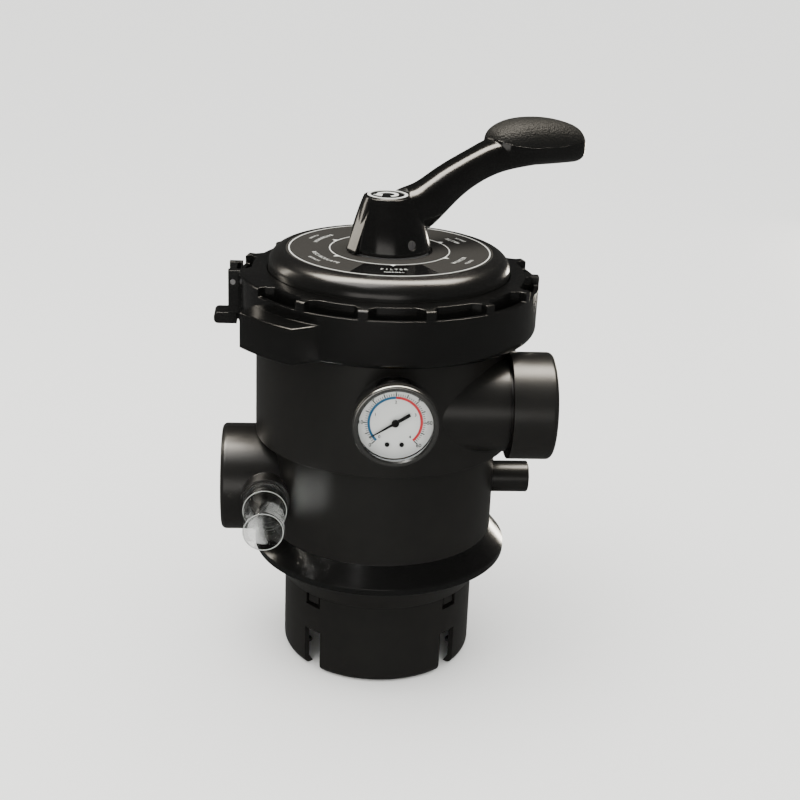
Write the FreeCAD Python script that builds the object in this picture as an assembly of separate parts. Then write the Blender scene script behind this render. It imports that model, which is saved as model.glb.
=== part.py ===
import FreeCAD, Part
import math
import os

os.makedirs("parts", exist_ok=True)
V = FreeCAD.Vector

# Top-mount multiport valve of a sand filter, in millimetres.
# +Z is the valve's axis. Z = 0 is the flange's seating face on the tank neck.
# -Y faces the user (pressure gauge), +X is the pump port, -X the waste port, +Y the return port.

# ------------------------------------------------------------------ clearances
RUNNING = 0.05        # shaft in its bore, on the radius
SLIP = 0.3            # parts that only pass each other
SEAT = 0.1            # faces that nearly touch

# ------------------------------------------------------------------ body shell
upper_radius = 75.2
lower_radius = upper_radius - 8.7
shell_wall = 4.5
lower_height = 57.9
upper_height = 84.8

flange_radius = lower_radius + 8.8
flange_rim = 3.6
flange_slope = 10.7
seat_land = 6.5
tank_seal_section = 1.4
throat_radius = lower_radius - 8.0
throat_drop = 17.5

step_z = flange_rim + flange_slope + lower_height
body_rim_z = step_z + upper_height
lower_bore = lower_radius - shell_wall
upper_bore = upper_radius - shell_wall

# ------------------------------------------------------------------ port deck and chambers
deck_z = step_z - 12.2
deck_thickness = 6.0
floor_z = 14.0
floor_thickness = 4.0
web_thickness = 3.6
web_angles = (60, 120, 158, 300)
window_inner = 31.0
window_outer = lower_bore - 6.0
deck_windows = ((30, 23), (90, 23), (139, 15), (210, 23), (270, 23), (330, 23))
deck_top = deck_z + deck_thickness

# ------------------------------------------------------------------ ports
pump_radius = 30.1
side_radius = 31.6
port_bore = 19.5
socket_radius = 24.2
socket_depth = 27.0
port_edge = 3.0
pump_z = step_z + 31.8
pump_offset = 44.0
pump_reach = upper_radius + 15.8
pump_socket_depth = 23.0
pump_pipe_radius = 26.0
pump_collar_length = 24.6
pump_groove = 1.4
waste_z = 40.0
waste_reach = lower_radius + 28.5
return_reach = waste_reach

drain_z = 41.5
drain_radius = 9.4
drain_reach = lower_radius + 21.9
drain_bore = 4.9
drain_head = 6.7
drain_sink = 4.6

# ------------------------------------------------------------------ centre pipe socket
pipe_socket_radius = 25.15
pipe_socket_wall = 5.5
pipe_socket_depth = 66.0
pipe_tube_end = 62.0
pipe_way_radius = 21.0
pipe_seal_section = 1.6

# ------------------------------------------------------------------ neck that enters the tank
neck_radius = throat_radius - 1.5
neck_wall = 3.5
neck_drop = 68.0
neck_edge = 5.0
spigot_length = 17.0
spigot_wall = 3.2
clip_angles = (45, 135, 225, 315)
clip_width = 11.0
clip_height = 8.5
window_width = 12.3
window_height = 26.0
spoke_thickness = 3.0
spoke_height = 8.0

# ------------------------------------------------------------------ lid
lid_edge_radius = upper_radius - 6.4
lid_shoulder = 9.5
lid_top_z = body_rim_z + 24.0
lid_flange_radius = upper_radius - 1.2
lid_flange_thickness = 7.2
lid_wall = 5.0
plug_depth = 10.0
label_radius = lid_edge_radius - 10.0
label_thickness = 0.5
tower_radius = 18.5
tower_depth = 18.0

# ------------------------------------------------------------------ lock ring
ring_radius = upper_radius + 10.5
ring_plate = 5.0
ring_bore = lid_edge_radius + 0.5
ring_bottom_z = body_rim_z - 19.5
ring_round = 4.0
ring_skirt_bore = upper_radius + 3.1
pocket_count = 15
pocket_inner = upper_radius + 2.4
pocket_outer = ring_radius - 2.7
pocket_span = 20.4
pocket_depth = 14.0
pocket_chamfer = 3.5
lip_drop = 5.1
bayonet_count = 6
bayonet_arc = 22.0
bayonet_height = 5.2
lug_reach = ring_radius + 12.8
lug_low_z = ring_bottom_z + 1.5
lug_high_z = ring_bottom_z + 21.1
lug_angles = (-135.0, 45.0)
lug_half_span = 11.7
lug_root_span = 18.5

# ------------------------------------------------------------------ ring latch
latch_width = 14.0
latch_solid_angle = 198.0
latch_thickness = 4.0
latch_low_z = ring_bottom_z - 0.2
latch_high_z = ring_bottom_z + 31.9
tongue_reach = ring_radius + 13.3
tongue_height = 6.5
latch_pin_radius = 1.5
latch_pin_z = ring_bottom_z + 25.5
tooth_width = 11.0
tooth_low_z = ring_bottom_z + 2.1
tooth_high_z = ring_bottom_z + 7.7
tooth_depth = 2.0
ear_width = 4.0
ring_travel = 24.0

# ------------------------------------------------------------------ rotor, stem and spring
rotor_radius = lower_bore - 2.0
rotor_disc = 7.0
gasket_thickness = 2.0
stem_radius = 12.25
tower_foot_radius = 30.0
tower_head_radius = 26.5
tower_top_z = lid_top_z - 63.0
rotor_ribs = 8
dome_height = 19.0
head_half_length = 9.0
head_half_width = 7.5
head_top_z = lid_top_z + 17.0
stem_shoulder_z = lid_top_z - 4.6
spring_radius = 21.0
spring_wire = 1.9
spring_turns = 5
washer_thickness = 1.6
o_ring_section = 1.3
bush_wall = 2.0

# ------------------------------------------------------------------ handle
handle_turn = 30.0            # resting direction of the lever about the valve's axis
pin_radius = 2.6
pin_z = lid_top_z + 7.0
hub_low_z = lid_top_z + 0.8
hub_top_z = lid_top_z + 31.0
# Hub levels: height over the lid, radius, and how far its centre leans back from the lever.
hub_levels = (
    (0.8, 23.3, 0.0),
    (2.6, 23.3, 0.0),
    (9.0, 21.9, 0.4),
    (16.0, 19.7, 1.0),
    (23.0, 16.9, 1.8),
    (29.4, 14.1, 2.5),
    (31.0, 13.3, 2.6),
)
hub_foot_radius = hub_levels[0][1]
hub_lean = hub_levels[-1][2]
cap_radius = 12.2
cap_thickness = 1.6
thrust_thickness = 2.1
# Lever stations: distance from the axis, underside and top height over the lid, half width.
lever_stations = (
    (2.0, 9.0, 30.0, 9.0),
    (16.0, 8.0, 35.8, 10.6),
    (30.0, 15.0, 42.3, 10.3),
    (44.0, 26.0, 48.7, 9.7),
    (58.0, 33.7, 54.2, 9.8),
    (70.0, 38.0, 58.0, 11.4),
    (84.0, 40.4, 59.0, 13.5),
    (96.0, 41.4, 58.5, 14.5),
    (110.0, 41.8, 56.5, 13.0),
    (122.0, 42.5, 54.0, 8.0),
)
# Grip stations, in the same order of values.
grip_stations = (
    (67.6, 51.0, 58.0, 4.5),
    (68.8, 47.5, 61.6, 8.2),
    (72.0, 44.0, 64.2, 11.6),
    (79.0, 42.0, 67.0, 14.4),
    (90.0, 41.4, 68.6, 16.4),
    (102.0, 41.2, 68.4, 17.2),
    (113.0, 41.0, 67.0, 16.9),
    (122.5, 40.9, 64.4, 15.8),
    (127.5, 41.1, 61.8, 14.0),
    (130.2, 42.3, 58.2, 11.4),
    (131.2, 45.4, 53.8, 7.6),
)
# Line in the lever's side view where the dimpled pad meets the smooth grip.
pad_line = ((60.0, 59.4), (67.6, 58.4), (75.0, 55.8), (87.0, 53.9),
            (106.0, 53.6), (123.0, 54.8), (150.0, 55.4))

# ------------------------------------------------------------------ pressure gauge
gauge_z = step_z + 41.8
gauge_radius = 21.6
gauge_back = upper_radius + 11.8
gauge_depth = 16.5
case_wall = 1.0
bezel_radius = 22.6
bezel_front = gauge_back + 18.5
bezel_opening = 19.4
bezel_length = 5.6
lens_thickness = 1.6
dial_radius = 20.2
dial_depth = gauge_back + 11.6
dial_thickness = 0.6
screw_x = 3.8
screw_y = -12.2
pointer_length = 15.6
pointer_tail = 9.0
gauge_boss_radius = 12.0
gauge_boss_reach = upper_radius + 6.8
gauge_thread = 6.6
gauge_hex = 14.0
pinion_radius = 0.75
sector_radius = 9.0
sector_span = 44.0
sector_swing = 22.5
sector_arm = 3.0
tube_radius = 15.6

# ------------------------------------------------------------------ sight glass
sight_x = -(lower_radius + 2.0)
sight_boss_radius = 14.2
sight_boss_reach = 38.0
sight_nut_radius = 12.9
sight_nut_length = 11.0
sight_radius = 11.6
sight_reach = 77.5
sight_wall = 2.8


# ================================================================== helpers
def outline(*items):
    """Closed wire in the XZ plane. A point is (r, z); an arc is ("arc", middle, end)."""
    edges = []
    first = V(items[0][0], 0, items[0][1])
    here = first
    for item in items[1:]:
        if item[0] == "arc":
            middle = V(item[1][0], 0, item[1][1])
            there = V(item[2][0], 0, item[2][1])
            edges.append(Part.Arc(here, middle, there).toShape())
        else:
            there = V(item[0], 0, item[1])
            edges.append(Part.makeLine(here, there))
        here = there
    if here.distanceToPoint(first) > 1e-6:
        edges.append(Part.makeLine(here, first))
    return Part.Wire(edges)


def turned(*items, angle=360.0, start=0.0):
    """Solid of revolution about Z, from start through angle degrees."""
    face = Part.Face(outline(*items))
    solid = face.revolve(V(0, 0, 0), V(0, 0, 1), angle)
    solid.rotate(V(0, 0, 0), V(0, 0, 1), start)
    return solid


def sector(inner, outer, low, high, middle=0.0, half=180.0):
    """Piece of a flat ring about Z."""
    return turned((inner, low), (outer, low), (outer, high), (inner, high),
                  angle=2 * half, start=middle - half)


def rod(radius, start, end):
    """Round bar between two points."""
    way = V(*end) - V(*start)
    return Part.makeCylinder(radius, way.Length, V(*start), way)


def block(low, high):
    """Box between two corners."""
    size = [b - a for a, b in zip(low, high)]
    return Part.makeBox(*size, V(*low))


def about_z(shape, degrees):
    copy = shape.copy()
    copy.rotate(V(0, 0, 0), V(0, 0, 1), degrees)
    return copy


def facing(shape, direction, origin):
    """Turns a shape made about +Z so that +Z points along direction, then moves it to origin."""
    copy = shape.copy()
    turn = FreeCAD.Rotation(V(0, 0, 1), V(*direction))
    copy.Placement = FreeCAD.Placement(V(*origin), turn).multiply(copy.Placement)
    return copy


def fronted(shape, x, z):
    """Turns a shape drawn in XY, with +Z towards the viewer, so that it faces -Y at (x, z)."""
    copy = shape.copy()
    copy.rotate(V(0, 0, 0), V(1, 0, 0), 90)
    copy.translate(V(x, 0, z))
    return copy


def polar(radius, degrees, z=0.0):
    angle = math.radians(degrees)
    return V(radius * math.cos(angle), radius * math.sin(angle), z)


def fused(first, *others):
    """Joins the pieces one after another."""
    shape = first
    for other in others:
        shape = shape.fuse(other).removeSplitter()
    return shape


def carved(shape, *tools):
    """Takes the tools out one after another."""
    for tool in tools:
        shape = shape.cut(tool)
    return shape


def o_ring(mean_radius, section, z):
    return Part.makeTorus(mean_radius, section, V(0, 0, z), V(0, 0, 1))


def coil(radius, wire, pitch, turns):
    """Round wire wound about Z, centred on the wire from z = 0 upwards."""
    path = Part.makeHelix(pitch, pitch * turns, radius)
    section = Part.Wire([Part.makeCircle(wire, V(radius, 0, 0), V(0, 1, 0))])
    return Part.Wire(path.Edges).makePipeShell([section], True, True)


def edges_at(shape, test):
    return [e for e in shape.Edges if test(e)]


def save(name, shape):
    if not shape.isValid():
        print("not valid:", name)
    shape.exportStep("parts/" + name + ".step")
    print("%-22s solids %d  volume %.0f" % (name, len(shape.Solids), shape.Volume))


# ================================================================== body and neck
def port_block(reach, radius, direction, z):
    """Outside of a port with a rounded mouth, from the valve's axis outwards."""
    profile = ((0, 0), (radius, 0), (radius, reach - port_edge),
               ("arc", (radius - port_edge * (1 - math.sqrt(0.5)), reach - port_edge * (1 - math.sqrt(0.5))),
                (radius - port_edge, reach)), (0, reach))
    return facing(turned(*profile), direction, (0, 0, z))


def port_passage(start, reach, direction, z, depth=socket_depth):
    """Water way and pipe socket of a port."""
    profile = ((0, start), (port_bore, start), (port_bore, reach - depth),
               (socket_radius, reach - depth), (socket_radius, reach + 1), (0, reach + 1))
    return facing(turned(*profile), direction, (0, 0, z))


def body_outside():
    shell = turned((0, -throat_drop), (throat_radius, -throat_drop), (flange_radius - seat_land, 0),
                   (flange_radius, 0), (flange_radius, flange_rim),
                   (lower_radius, flange_rim + flange_slope), (lower_radius, step_z),
                   (upper_radius, step_z), (upper_radius, body_rim_z), (0, body_rim_z))
    collar_start = pump_reach - pump_collar_length
    pipe = rod(pump_pipe_radius, (0, 0, pump_z), (collar_start - pump_groove, 0, pump_z))
    groove = rod(pump_pipe_radius - 1.5, (0, 0, pump_z), (collar_start, 0, pump_z))
    collar = port_block(pump_reach, pump_radius, (1, 0, 0), pump_z)
    collar = collar.cut(block((-1, -pump_radius - 1, 0), (collar_start, pump_radius + 1, body_rim_z)))
    for piece in (pipe, groove, collar):
        piece.translate(V(0, -pump_offset, 0))
    waste = port_block(waste_reach, side_radius, (-1, 0, 0), waste_z)
    returning = port_block(return_reach, side_radius, (0, 1, 0), waste_z)
    drain = rod(drain_radius, (0, 0, drain_z), (drain_reach, 0, drain_z))
    drain = drain.makeFillet(1.2, edges_at(drain, lambda e: e.BoundBox.XMin > drain_reach - 0.1))
    gauge_boss = rod(gauge_boss_radius, (0, 0, gauge_z), (0, -gauge_boss_reach, gauge_z))
    sight_boss = rod(sight_boss_radius, (sight_x, 0, waste_z), (sight_x, -sight_boss_reach, waste_z))
    return fused(shell, pipe, groove, collar, waste, returning, drain, gauge_boss, sight_boss)


def bayonet_lugs(radius_in, radius_out, low, high):
    pitch = 360.0 / bayonet_count
    return [sector(radius_in, radius_out, low, high, pitch * (i + 0.5), bayonet_arc / 2)
            for i in range(bayonet_count)]


def seat_groove_radius():
    """Middle of the tank seal's groove in the seating face."""
    return flange_radius - seat_land / 2


def valve_body():
    outside = body_outside()
    upper = turned((0, step_z + shell_wall), (upper_bore, step_z + shell_wall),
                   (upper_bore, body_rim_z + 1), (0, body_rim_z + 1))
    middle = turned((0, deck_top), (lower_bore, deck_top), (lower_bore, step_z + shell_wall + 1),
                    (0, step_z + shell_wall + 1))
    lower = turned((0, floor_z + floor_thickness), (lower_bore, floor_z + floor_thickness),
                   (lower_bore, deck_z), (0, deck_z))
    spigot_bore = neck_radius - neck_wall - SLIP - spigot_wall
    throat = turned((0, -neck_drop), (spigot_bore, -neck_drop), (spigot_bore, -throat_drop + 2),
                    (lower_bore, 2.0), (lower_bore, floor_z), (0, floor_z))
    pump_way = port_passage(20.0, pump_reach, (1, 0, 0), pump_z, pump_socket_depth)
    pump_way.translate(V(0, -pump_offset, 0))
    passages = [
        pump_way,
        port_passage(lower_bore - 6, waste_reach, (-1, 0, 0), waste_z),
        port_passage(lower_bore - 6, return_reach, (0, 1, 0), waste_z),
        rod(drain_bore, (lower_bore - 6, 0, drain_z), (drain_reach + 1, 0, drain_z)),
        rod(drain_head + SEAT, (drain_reach - drain_sink, 0, drain_z), (drain_reach + 1, 0, drain_z)),
        rod(gauge_thread, (0, -upper_bore + 4, gauge_z), (0, -gauge_boss_reach - 1, gauge_z)),
        rod(sight_radius - sight_wall, (sight_x, -port_bore + 6, waste_z),
            (sight_x, -sight_boss_reach - 1, waste_z)),
    ]
    shell = carved(outside, upper, middle, lower, throat, *passages)
    spigot = sector(spigot_bore, spigot_bore + spigot_wall, -throat_drop - spigot_length, -throat_drop + 3)
    tube_outer = pipe_socket_radius + pipe_socket_wall
    tube = turned((pipe_way_radius, deck_z + 1), (pipe_way_radius, -pipe_tube_end + pipe_socket_depth + 4),
                  (pipe_socket_radius, -pipe_tube_end + pipe_socket_depth + 4),
                  (pipe_socket_radius, -pipe_tube_end), (tube_outer, -pipe_tube_end), (tube_outer, deck_z + 1))
    deck = sector(0.01, lower_bore + 1, deck_z, deck_top)
    floor = sector(tube_outer - 1, lower_bore + 1, floor_z, floor_z + floor_thickness, 180, 120)
    webs = [about_z(block((tube_outer - 1, -web_thickness / 2, floor_z + 1),
                          (lower_bore + 1, web_thickness / 2, deck_z + 1)), a) for a in web_angles]
    tabs = [about_z(block((spigot_bore, -clip_width / 2 + 1.6, -throat_drop - clip_height + 2.0),
                          (neck_radius - 0.9, clip_width / 2 - 1.6, -throat_drop - 1.5)), a)
            for a in clip_angles]
    lugs = bayonet_lugs(upper_radius - 1, ring_skirt_bore - SLIP - 0.1, ring_lug_top() + 0.4,
                        ring_lug_top() + 0.4 + bayonet_height)
    body = fused(shell, spigot, tube, deck, floor, *webs, *tabs, *lugs)
    windows = [sector(window_inner, window_outer, deck_z - 1, deck_top + 1, a, h) for a, h in deck_windows]
    pipe_inlet = about_z(block((pipe_way_radius - 6, -9, floor_z + floor_thickness + 4),
                               (tube_outer + 2, 9, deck_z - 4)), deck_windows[2][0])
    seat_r = seat_groove_radius()
    groove = sector(seat_r - tank_seal_section - SEAT, seat_r + tank_seal_section + SEAT,
                    -1.0, 2 * tank_seal_section)
    pipe_groove = sector(pipe_way_radius, pipe_socket_radius + 2 * pipe_seal_section + SEAT,
                         -pipe_tube_end + pipe_socket_depth, -pipe_tube_end + pipe_socket_depth + 4)
    slot_half = (ring_travel + 14.0) / 2
    tooth_slot = sector(upper_radius - tooth_depth - 0.7, upper_radius + 2, tooth_low_z - 4.5,
                        tooth_high_z + 0.6, 180 + ring_travel / 2, slot_half)
    return carved(body, pipe_inlet, groove, pipe_groove, tooth_slot, *windows)


def flange_o_ring():
    return o_ring(seat_groove_radius(), tank_seal_section, tank_seal_section - 0.02)


def centre_pipe_seal():
    z = -pipe_tube_end + pipe_socket_depth + 2.0
    return o_ring(pipe_socket_radius + pipe_seal_section + SEAT / 2, pipe_seal_section, z)


def diffuser_neck():
    inner = neck_radius - neck_wall
    corner = neck_edge * (1 - math.sqrt(0.5))
    top = -throat_drop - SEAT
    skirt = turned((inner, top), (neck_radius, top), (neck_radius, -neck_drop + neck_edge),
                   ("arc", (neck_radius - corner, -neck_drop + corner), (neck_radius - neck_edge, -neck_drop)),
                   (neck_radius - neck_edge - 2, -neck_drop), (inner, -neck_drop + neck_edge))
    hub_in = pipe_socket_radius + pipe_socket_wall + SLIP
    hub = sector(hub_in, hub_in + 3.0, -neck_drop + 6.5, -neck_drop + 6.5 + spoke_height)
    spokes = [about_z(block((hub_in + 1, -spoke_thickness / 2, -neck_drop + 6.5),
                            (inner + 1, spoke_thickness / 2, -neck_drop + 6.5 + spoke_height)), a)
              for a in (0, 90, 180, 270)]
    lip = sector(inner - 2.5, inner + 1, -neck_drop + 14, -neck_drop + 16)
    neck = fused(skirt, hub, lip, *spokes)
    cuts = []
    for a in clip_angles:
        cuts.append(about_z(block((inner - 4, -window_width / 2, -neck_drop - 1),
                                  (neck_radius + 1, window_width / 2, -neck_drop + window_height)), a))
        cuts.append(about_z(block((inner - 1, -clip_width / 2, top - clip_height),
                                  (neck_radius + 1, clip_width / 2, top - 0.8)), a))
    return carved(neck, *cuts)


def spider_gasket():
    ring = sector(9.0, lower_bore - 0.5, deck_top, deck_top + gasket_thickness)
    windows = [sector(window_inner + 0.5, window_outer - 0.5, deck_top - 1, deck_top + gasket_thickness + 1,
                      a, h - 0.6) for a, h in deck_windows]
    return carved(ring, *windows)


# ================================================================== lid and its seals
def lid_low_z():
    return body_rim_z + SEAT


def lid():
    arc_r = lid_edge_radius - lid_shoulder
    arc_z = lid_top_z - lid_shoulder
    bend = lid_shoulder * math.sqrt(0.5)
    low = lid_low_z()
    flange_top = low + lid_flange_thickness
    plug = upper_bore - SLIP
    under = lid_top_z - lid_wall
    bush = stem_radius + RUNNING + bush_wall
    thrust = hub_foot_radius - 0.6
    shape = turned(
        (bush, lid_top_z - 3.0), (bush, lid_top_z - tower_depth), (tower_radius, lid_top_z - tower_depth),
        (tower_radius, under), (arc_r - 2, under), (plug - lid_wall, flange_top), (plug - lid_wall, low - plug_depth),
        (plug, low - plug_depth), (plug, low), (lid_flange_radius, low), (lid_flange_radius, flange_top),
        (lid_edge_radius, flange_top), (lid_edge_radius, arc_z),
        ("arc", (arc_r + bend, arc_z + bend), (arc_r, lid_top_z)),
        (label_radius + 0.15, lid_top_z), (label_radius + 0.15, lid_top_z - label_thickness),
        (thrust + 0.8, lid_top_z - label_thickness), (thrust, lid_top_z - thrust_thickness + 0.3),
        (stem_radius + RUNNING, lid_top_z - thrust_thickness + 0.3), (stem_radius + RUNNING, lid_top_z - 3.0))
    ribs = [about_z(block((tower_radius - 1, -1.5, under - 6), (plug - lid_wall + 1, 1.5, under + 1)), 30 * i)
            for i in range(12)]
    groove = sector(plug - 3.2, plug + 1, low - plug_depth + 3.2, low - plug_depth + 7.0)
    return fused(shape, *ribs).cut(groove)


def lid_o_ring():
    plug = upper_bore - SLIP
    return o_ring(plug - 1.4, 1.55, lid_low_z() - plug_depth + 5.1)


def position_label():
    inner = hub_foot_radius + 1.2
    return sector(inner, label_radius, lid_top_z - label_thickness, lid_top_z)


def stem_bush():
    outer = stem_radius + RUNNING + bush_wall
    return sector(stem_radius + RUNNING, outer, lid_top_z - tower_depth, lid_top_z - 3.0)


def thrust_washer():
    low = lid_top_z - thrust_thickness + 0.3
    return sector(stem_radius + 0.8, hub_foot_radius - 1.1, low, low + thrust_thickness)


# ================================================================== lock ring and latch
def ring_lug_top():
    return ring_bottom_z + 3.8 + bayonet_height


def ring_top_z():
    return lid_low_z() + lid_flange_thickness + SLIP + ring_plate


def pocket_cutter(top):
    """One pocket between two ribs, with bevelled inner corners, and the lowered lip outside it."""
    half = pocket_span / 2
    bevel = math.degrees(pocket_chamfer / pocket_inner)
    corners = [polar(pocket_inner, -half + bevel), polar(pocket_inner, 0), polar(pocket_inner, half - bevel),
               polar(pocket_inner + pocket_chamfer, half), polar(pocket_outer, half), polar(pocket_outer, 0),
               polar(pocket_outer, -half), polar(pocket_inner + pocket_chamfer, -half)]
    edges = [Part.Arc(corners[0], corners[1], corners[2]).toShape(),
             Part.makeLine(corners[2], corners[3]), Part.makeLine(corners[3], corners[4]),
             Part.Arc(corners[4], corners[5], corners[6]).toShape(),
             Part.makeLine(corners[6], corners[7]), Part.makeLine(corners[7], corners[0])]
    pocket = Part.Face(Part.Wire(edges)).extrude(V(0, 0, pocket_depth + 1))
    pocket.translate(V(0, 0, top - pocket_depth))
    lip = sector(pocket_outer - 1, ring_radius + 2, top - lip_drop, top + 1, 0, half)
    return pocket.fuse(lip)


def side_lug(middle):
    """Broad grip lug with bevelled ends on the ring's wall."""
    root = ring_radius - 3.0
    tip_a = polar(lug_reach, middle - lug_half_span, lug_low_z)
    tip_m = polar(lug_reach, middle, lug_low_z)
    tip_b = polar(lug_reach, middle + lug_half_span, lug_low_z)
    root_a = polar(root, middle - lug_root_span, lug_low_z)
    root_m = polar(root, middle, lug_low_z)
    root_b = polar(root, middle + lug_root_span, lug_low_z)
    wire = Part.Wire([Part.makeLine(root_a, tip_a), Part.Arc(tip_a, tip_m, tip_b).toShape(),
                      Part.makeLine(tip_b, root_b), Part.Arc(root_b, root_m, root_a).toShape()])
    lug = Part.Face(wire).extrude(V(0, 0, lug_high_z - lug_low_z))
    rims = edges_at(lug, lambda e: e.BoundBox.ZMin > lug_high_z - 0.1 and
                    e.CenterOfMass.Length > math.hypot(ring_radius - 1, lug_high_z))
    return lug.makeFillet(1.0, rims)


def lock_ring():
    top = ring_top_z()
    turn = ring_round * (1 - math.sqrt(0.5))
    ledge = ring_lug_top() + 0.4 + bayonet_height + 0.8
    neck_bore = upper_radius + 0.4
    ring = turned((ring_skirt_bore, ring_bottom_z), (ring_radius - 0.3 - ring_round, ring_bottom_z),
                  ("arc", (ring_radius - 0.3 - turn, ring_bottom_z + turn),
                   (ring_radius - 0.3, ring_bottom_z + ring_round)),
                  (ring_radius, top - 0.8), (ring_radius - 0.8, top), (ring_bore, top),
                  (ring_bore, top - ring_plate), (neck_bore, top - ring_plate), (neck_bore, ledge),
                  (ring_skirt_bore, ledge))
    pitch = 360.0 / pocket_count
    places = [-90 + pitch * i for i in range(pocket_count)]
    ring = carved(ring, *[about_z(pocket_cutter(top), a) for a in places if abs(a % 360 - latch_solid_angle) > 1])
    lugs = bayonet_lugs(neck_bore, ring_skirt_bore + 1, ring_lug_top() - bayonet_height, ring_lug_top())
    sides = [side_lug(a) for a in lug_angles]
    half = latch_width / 2
    pad = block((-ring_radius - 0.3 - latch_thickness - 0.6, -half - SLIP - ear_width,
                 latch_low_z + tongue_height + 0.8), (-pocket_outer, half + SLIP + ear_width, top))
    ring = fused(ring, pad, *sides, *lugs)
    bay = block((-ring_radius - 12, -half - SLIP, latch_low_z - 3), (-ring_radius, half + SLIP, top + 1))
    relief = block((-ring_radius - 1, -half - SLIP, latch_pin_z - 4), (-ring_radius + 2.0, half + SLIP, top + 1))
    gate = block((-ring_radius - 1, -tooth_width / 2 - SLIP, ring_bottom_z - 1),
                 (-neck_bore + 1, tooth_width / 2 + SLIP, tooth_high_z + 2.0))
    bore = latch_pin_hole(latch_pin_radius + RUNNING)
    return carved(ring, bay, relief, gate, bore)


def latch_axis_x():
    return -(ring_radius + 0.3 + latch_thickness / 2)


def latch_pin_hole(radius):
    reach = latch_width / 2 + SLIP + ear_width + 0.01
    return rod(radius, (latch_axis_x(), -reach, latch_pin_z), (latch_axis_x(), reach, latch_pin_z))


def latch_pin():
    return latch_pin_hole(latch_pin_radius)


def ring_latch():
    half = latch_width / 2
    inner = -(ring_radius + 0.3)
    outer = inner - latch_thickness
    plate = block((outer, -half, latch_low_z), (inner, half, latch_high_z))
    tongue = block((-tongue_reach, -half, latch_low_z), (inner, half, latch_low_z + tongue_height))
    tongue = tongue.makeFillet(2.4, edges_at(tongue, lambda e: e.BoundBox.XMax < -tongue_reach + 0.1 and
                                             e.BoundBox.YLength > 1))
    tooth = block((inner - 1, -tooth_width / 2, tooth_low_z),
                  (-upper_radius + tooth_depth, tooth_width / 2, tooth_high_z))
    shape = fused(plate, tongue, tooth)
    spring_gap = block((outer - 1, -2.6, latch_pin_z - 3.2), (inner + 1, 2.6, latch_pin_z + 3.2))
    return carved(shape, spring_gap, latch_pin_hole(latch_pin_radius + RUNNING))


def latch_spring():
    wire = 0.35
    spring = coil(latch_pin_radius + 0.2 + wire, wire, 0.85, 5)
    spring.translate(V(0, 0, -0.85 * 2.5))
    return facing(spring, (0, 1, 0), (latch_axis_x(), 0, latch_pin_z))


# ================================================================== rotor and spring
def rotor_low_z():
    return deck_top + gasket_thickness + SEAT


def rotor():
    low = rotor_low_z()
    disc_top = low + rotor_disc
    shape = turned((0, low), (rotor_radius, low), (rotor_radius, disc_top), (tower_foot_radius, disc_top),
                   (tower_head_radius, tower_top_z), (stem_radius, tower_top_z), (stem_radius, stem_shoulder_z),
                   (0, stem_shoulder_z))
    head = rod(head_half_length, (0, 0, stem_shoulder_z - 1), (0, 0, head_top_z))
    head = head.common(block((-20, -head_half_width, 0), (20, head_half_width, head_top_z)))
    head = head.makeChamfer(1.0, edges_at(head, lambda e: e.BoundBox.ZMin > head_top_z - 0.1))
    head = about_z(head, handle_turn)
    dome = sector(tower_head_radius - 2, window_outer + 2.5, disc_top - 1, low + dome_height + 3, 113, 51)
    ribs = [about_z(block((tower_head_radius - 2, -1.6, disc_top - 1), (rotor_radius - 3, 1.6, disc_top + 9)),
                    i * 360.0 / rotor_ribs + 11) for i in range(rotor_ribs)]
    shape = fused(shape, head, dome, *ribs)
    gallery = sector(window_inner + 1, window_outer - 1, low - 1, low + dome_height, 113, 46)
    window = sector(window_inner + 1, window_outer - 1, low - 1, disc_top + 20, 30, 22)
    core = turned((0, low - 1), (stem_radius - 2, low - 1), (stem_radius + 9, low + 6), (stem_radius + 9, tower_top_z - 14),
                  (stem_radius - 5, tower_top_z - 6), (0, tower_top_z - 6))
    grooves = [sector(stem_radius - 2.2, stem_radius + 1, z - 1.5, z + 1.5) for z in stem_seal_heights()]
    pin_way = handle_pin_bar(pin_radius + RUNNING, head_half_width + 5)
    return carved(shape, gallery, window, core, pin_way, *grooves)


def stem_seal_heights():
    return (lid_top_z - tower_depth + 6.0, lid_top_z - tower_depth + 11.0)


def stem_o_rings():
    rings = [o_ring(stem_radius - 0.9, 0.87, z) for z in stem_seal_heights()]
    return Part.makeCompound(rings)


def spring_washer_lower():
    return sector(stem_radius + 1.0, tower_head_radius - 0.5, tower_top_z + SEAT,
                  tower_top_z + SEAT + washer_thickness)


def upper_washer_z():
    return lid_top_z - tower_depth - 1.2


def spring_washer_upper():
    top = upper_washer_z() + 1.0
    return sector(stem_radius + 1.0, tower_head_radius - 0.5, top - washer_thickness, top)


def rotor_spring():
    low = tower_top_z + SEAT + washer_thickness + spring_wire + SEAT
    high = upper_washer_z() + 1.0 - washer_thickness - spring_wire - SEAT
    pitch = (high - low) / spring_turns
    spring = coil(spring_radius - 2.0, spring_wire, pitch, spring_turns)
    spring.translate(V(0, 0, low))
    return spring


# ================================================================== handle
def handle_pin_bar(radius, reach):
    a = polar(reach, handle_turn + 90, pin_z)
    b = polar(reach, handle_turn - 90, pin_z)
    return rod(radius, tuple(a), tuple(b))


def hub_radius_at(z):
    """Radius of the hub between two of its levels."""
    height = z - lid_top_z
    for (z0, r0, _), (z1, r1, _) in zip(hub_levels, hub_levels[1:]):
        if z0 <= height <= z1:
            return r0 + (r1 - r0) * (height - z0) / (z1 - z0)
    return hub_foot_radius


def handle_pin():
    return handle_pin_bar(pin_radius, hub_radius_at(pin_z) - 0.4)


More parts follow.
